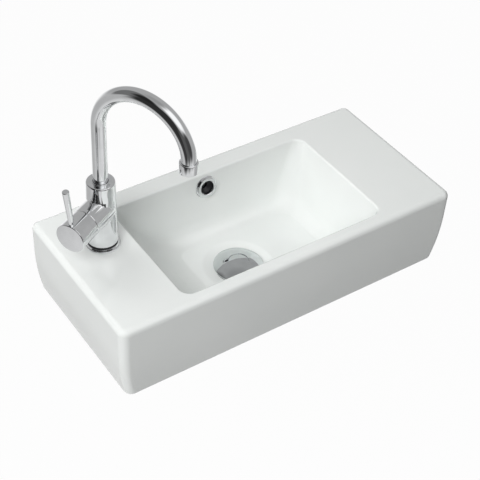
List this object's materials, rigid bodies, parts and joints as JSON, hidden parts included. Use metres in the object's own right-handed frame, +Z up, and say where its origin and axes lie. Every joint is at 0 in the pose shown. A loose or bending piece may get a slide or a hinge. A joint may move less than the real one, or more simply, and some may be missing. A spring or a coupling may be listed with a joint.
{
  "type": "wall-hung washbasin with mixer tap",
  "caption": "Small wall-hung ceramic washbasin with a shelf at each side of the bowl, a side-lever swan-neck mixer tap that swivels, an overflow and a push plug.",
  "frame": {"origin": "midway between the two wall fixing holes, on the wall face of the basin", "axes": "+X to the right along the wall, -Y out of the wall to the front of the basin, +Z up"},
  "size_m": [0.509, 0.23, 0.4095],
  "materials": {
    "ceramic": "gloss",
    "chrome": "polished",
    "brass": "satin",
    "steel": "satin",
    "black_rubber": "matt",
    "dark_plastic": "matt",
    "white_plastic": "matt",
    "disc_ceramic": "polished"
  },
  "bodies": {
    "basin": {"basin_body": "ceramic", "overflow_ring": "chrome", "waste_body": "chrome", "waste_top_seal": "black_rubber", "waste_bottom_seal": "black_rubber", "waste_slip_washer": "white_plastic", "waste_backnut": "brass", "plug_sleeve": "white_plastic", "plug_spring": "steel", "tap_body": "chrome", "tap_base_ring": "chrome", "tap_base_seal": "black_rubber", "spout_bush": "dark_plastic", "spout_lock_screw": "steel", "cartridge_housing": "white_plastic", "cartridge_seals": "black_rubber", "fixed_disc": "disc_ceramic", "cartridge_nut": "brass", "tap_stud": "steel", "clamp_rubber": "black_rubber", "clamp_plate": "steel", "clamp_nut": "brass"},
    "spout": {"spout_pipe": "chrome", "spout_nipple": "brass", "spout_orings": "black_rubber", "aerator_shell": "chrome", "aerator_insert": "white_plastic", "aerator_seal": "black_rubber"},
    "carrier": {"cartridge_carrier": "white_plastic", "pivot_pin": "steel"},
    "mixing_disc": {"moving_disc": "disc_ceramic", "disc_driver": "white_plastic"},
    "handle": {"handle_cap": "chrome", "lever_pin": "chrome", "handle_grub_screw": "steel", "lever_spindle": "steel"},
    "plug": {"plug_cap": "chrome", "plug_seal": "black_rubber", "plug_stem": "brass"}
  },
  "joints": [
    {"name": "spout_swivel", "type": "hinge", "parent": "basin", "child": "spout", "pos_m": [-0.19125, -0.081, 0.135], "axis": [0, 0, 1], "range_deg": [-56, 64]},
    {"name": "lever_temperature", "type": "hinge", "parent": "basin", "child": "carrier", "pos_m": [-0.21156, -0.0918, 0.103], "axis": [-0.8829, -0.4695, 0], "range_deg": [-45, 45]},
    {"name": "lever_flow", "type": "hinge", "parent": "carrier", "child": "handle", "pos_m": [-0.21156, -0.0918, 0.103], "axis": [0.4695, -0.8829, 0], "range_deg": [0, 18]},
    {"name": "disc_shift", "type": "slide", "parent": "carrier", "child": "mixing_disc", "axis": [0, 0, 1], "range_m": [0, 0.0015]},
    {"name": "plug_click", "type": "slide", "parent": "basin", "child": "plug", "axis": [0, 0, 1], "range_m": [0, 0.008], "deforming": ["plug_spring"]}
  ],
  "couplings": [
    {"joint": "disc_shift", "follows": "lever_flow", "m_per_rad": 0.004623}
  ]
}
